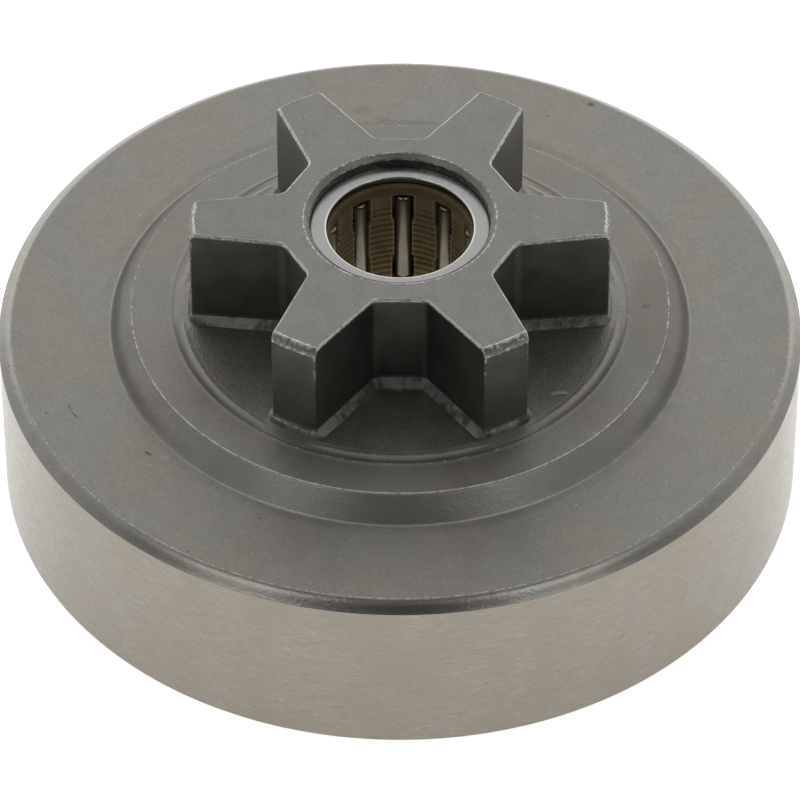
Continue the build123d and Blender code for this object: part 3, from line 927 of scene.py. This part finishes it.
def cage_material():
    """Glass-filled brown plastic, a little paler along the moulded edges of the bars, with painted shade on
    the top ring under the cup's lip.
    """
    material, tree, shader, place = new_material("cage_plastic", Metallic=0.0, Specular_IOR_Level=0.22)
    cloud = noise_at(tree, place, 700, 4.0, 3.0)
    fibres = noise_at(tree, stretched(tree, place, (1, 1, 0.25)), 5200, 2.0, 6.0)
    colour = mix_colours(tree, ramp_between(tree, cloud, 0.3, 0.7), CAGE_TINT, CAGE_PALE)
    colour = mix_colours(tree, ramp_between(tree, fibres, 0.6, 0.75, 0.0, 0.35), colour, FIBRE_TINT)
    edges = calculate(tree, "MULTIPLY", mesh_attribute(tree, "worn"), 0.85)
    colour = mix_colours(tree, edges, colour, BAR_EDGE_TINT)
    height = add_node(tree, "ShaderNodeSeparateXYZ", Vector=place).outputs[2]
    # Painted shade: the top ring darkens towards its top, under the cup's lip.
    shade = ramp_between(tree, height, (CAGE_TOP - CAGE_RING - 0.3) * MM, (CAGE_TOP - 0.5) * MM, 0.0, 0.38)
    colour = mix_colours(tree, shade, colour, CAGE_RING_SHADE)
    tree.links.new(colour, shader.inputs["Base Color"])
    tree.links.new(ramp_between(tree, cloud, 0.3, 0.7, 0.55, 0.7), shader.inputs["Roughness"])
    tree.links.new(bump_from(tree, fibres, 0.3, 0.01), shader.inputs["Normal"])
    return material


needle_low, needle_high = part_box("needle_01")
first_needle = (needle_low + needle_high) / 2
FIRST_ANGLE = math.atan2(first_needle.y, first_needle.x)
cage_plastic = cage_material()
cage_shell = bmesh.new()
cage_shell.from_mesh(ring_mesh("cage_bars", bar_mesh(), cage_plastic, Copies=NEEDLE_COUNT,
                               First_Angle=FIRST_ANGLE + math.pi / NEEDLE_COUNT, Ring_Radius=0.0,
                               Merge_Distance=0.0, Seed=1.0))
for name, bottom in (("cage_ring_top", CAGE_TOP - CAGE_RING), ("cage_ring_bottom", CAGE_BOTTOM)):
    ring_outline = spread_points(rounded_outline([
        (CAGE_RADIUS, bottom, CAGE_OUTER_CORNER, 0),
        (CAGE_RADIUS, bottom + CAGE_RING, CAGE_OUTER_CORNER, 0),
        (CAGE_BORE, bottom + CAGE_RING, CAGE_INNER_CORNER, 0),
        (CAGE_BORE, bottom, CAGE_INNER_CORNER, 0),
    ]), CAGE_RUN, CUP_EDGE_GAP)
    cage_shell.from_mesh(turned_mesh(name, ring_outline, CUP_TURNS))
cage_mesh = bpy.data.meshes.new("bearing_cage_body")
cage_shell.to_mesh(cage_mesh)
cage_shell.free()
smooth_mesh(cage_mesh)
cage = add_piece("bearing_cage_body", cage_mesh, cage_plastic)
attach(cage, "cage")
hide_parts("bearing_cage")

# Needles
# Ten loose rollers of hardened steel, ground and polished, with rounded ends. Nothing fixes them: each one
# lies in its own pocket of the cage and rolls on the race of the cup.
NEEDLE_HALF = (needle_high.z - needle_low.z) / MM / 2
NEEDLE_BOTTOM = first_needle.z / MM - NEEDLE_HALF
NEEDLE_TOP = first_needle.z / MM + NEEDLE_HALF
NEEDLE_ROUNDING = 0.3
NEEDLE_TURNS = 40
# Painted reflection: the needles' steel tints are made warm like the brown cage they mirror.
NEEDLE_STEEL_WARM_REFLECTION = (0.195, 0.177, 0.134, 1)
NEEDLE_PALE_WARM_REFLECTION = (0.25, 0.227, 0.176, 1)


def needle_material():
    """Polished steel with faint rings round it, its tint made warm as a painted reflection of the brown
    plastic cage.
    """
    material, tree, shader, place = new_material("needle_steel", Metallic=1.0)
    rings = noise_at(tree, stretched(tree, place, (500, 500, 4200)), 1.0, 3.0, 4.0)
    slow = noise_at(tree, place, 380, 3.0, 9.0)
    colour = mix_colours(tree, ramp_between(tree, slow, 0.35, 0.65), NEEDLE_STEEL_WARM_REFLECTION, NEEDLE_PALE_WARM_REFLECTION)
    tree.links.new(colour, shader.inputs["Base Color"])
    tree.links.new(ramp_between(tree, rings, 0.3, 0.7, 0.28, 0.38), shader.inputs["Roughness"])
    tree.links.new(bump_from(tree, rings, 0.08, 0.005), shader.inputs["Normal"])
    return material


needle_steel = needle_material()
needle_outline = rounded_outline([
    (0.0, NEEDLE_BOTTOM, 0, 0),
    (NEEDLE_RADIUS, NEEDLE_BOTTOM, NEEDLE_ROUNDING, 0),
    (NEEDLE_RADIUS, NEEDLE_TOP, NEEDLE_ROUNDING, 0),
    (0.0, NEEDLE_TOP, 0, 0),
], 6)
for number in range(NEEDLE_COUNT):
    body = f"needle_{number + 1:02d}"
    roller = f"roller_{number + 1:02d}"
    low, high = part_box(body)
    middle = (low + high) / 2
    needle_mesh = ring_mesh(
        roller, turned_mesh(roller, needle_outline, NEEDLE_TURNS), needle_steel, Copies=1,
        First_Angle=math.atan2(middle.y, middle.x), Ring_Radius=math.hypot(middle.x, middle.y),
        Merge_Distance=0.0005 * MM, Seed=float(number))
    smooth_mesh(needle_mesh)
    needle = add_piece(roller, needle_mesh, needle_steel)
    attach(needle, body)
    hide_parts(body)

# Studio
# A plain white floor under soft light: a wide panel behind, two small boxes above the front with a weaker
# one below each, and a glow that fades from the back and the sides to a dim front. The dark steel mirrors
# the pale room, and the wall mirrors the floor.
FLOOR_HALF = 1.5
FLOOR_GLOW = 0.88
# Panels as name, place, width, height and radiance
PANELS = (
    ("panel_back", (0, 1.10, 0.50), 2.6, 1.0, 0.98),
    ("panel_left", (-0.36, -0.24, 0.79), 0.28, 0.28, 3.0),
    ("panel_right", (0.36, -0.24, 0.79), 0.28, 0.28, 3.0),
    ("panel_left_low", (-0.46, -0.44, 0.63), 0.26, 0.26, 1.25),
    ("panel_right_low", (0.46, -0.44, 0.63), 0.26, 0.26, 1.25),
)
SIDE_GLOW = 0.55
FRONT_GLOW = 0.015
BACK_GLOW = 0.78
CAMERA_ELEVATION = math.radians(44.082)
CAMERA_DISTANCE = 0.54983
CAMERA_AIM = Vector((0, 0, 0.006556))
CAMERA_LENS = 272.3
SENSOR_WIDTH = 36.0


def floor_material():
    material, tree, shader, place = new_material("studio_floor", Roughness=0.9, Emission_Strength=FLOOR_GLOW)
    paper = ramp_between(tree, noise_at(tree, place, 9.0, 2.0, 4.0), 0.3, 0.7, 0.86, 0.88)
    grey = add_node(tree, "ShaderNodeCombineColor", Red=paper, Green=paper, Blue=paper).outputs[0]
    tree.links.new(grey, shader.inputs["Base Color"])
    tree.links.new(grey, shader.inputs["Emission Color"])
    return material


floor_mesh = bpy.data.meshes.new("studio_floor")
floor_corners = [(FLOOR_HALF * x, FLOOR_HALF * y, 0) for x, y in ((-1, -1), (1, -1), (1, 1), (-1, 1))]
floor_mesh.from_pydata(floor_corners, [], [(0, 1, 2, 3)])
floor = add_piece("studio_floor", floor_mesh, floor_material())
floor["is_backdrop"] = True


def add_panel(name, place, width, height, radiance):
    """A soft light panel that faces the object."""
    data = bpy.data.lights.new(name, "AREA")
    data.shape = "RECTANGLE"
    data.size = width
    data.size_y = height
    data.energy = radiance * math.pi * width * height
    panel = bpy.data.objects.new(name, data)
    panel.location = place
    panel.rotation_euler = (CAMERA_AIM - Vector(place)).to_track_quat("-Z", "Y").to_euler()
    bpy.context.scene.collection.objects.link(panel)


for panel in PANELS:
    add_panel(*panel)

room = bpy.data.worlds.new("studio_room")
room.use_nodes = True
bpy.context.scene.world = room
room_tree = room.node_tree
direction = add_node(room_tree, "ShaderNodeTexCoord").outputs["Generated"]
toward = add_node(room_tree, "ShaderNodeSeparateXYZ", Vector=direction).outputs
sideways = calculate(room_tree, "MULTIPLY", calculate(room_tree, "ABSOLUTE", toward[0]), SIDE_GLOW)
behind = calculate(room_tree, "ADD", toward[1], sideways)
glow = ramp_between(room_tree, behind, -0.05, 0.7, FRONT_GLOW, BACK_GLOW)
room_tree.links.new(glow, room_tree.nodes["Background"].inputs["Color"])

camera_data = bpy.data.cameras.new("photo_camera")
camera_data.lens = CAMERA_LENS
camera_data.sensor_width = SENSOR_WIDTH
camera = bpy.data.objects.new("photo_camera", camera_data)
camera_side = Vector((0, -math.cos(CAMERA_ELEVATION), math.sin(CAMERA_ELEVATION)))
camera.location = CAMERA_AIM + CAMERA_DISTANCE * camera_side
camera.rotation_euler = (math.pi / 2 - CAMERA_ELEVATION, 0, 0)
bpy.context.scene.collection.objects.link(camera)
bpy.context.scene.camera = camera
bpy.context.scene.view_settings.view_transform = "Standard"

low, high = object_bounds()
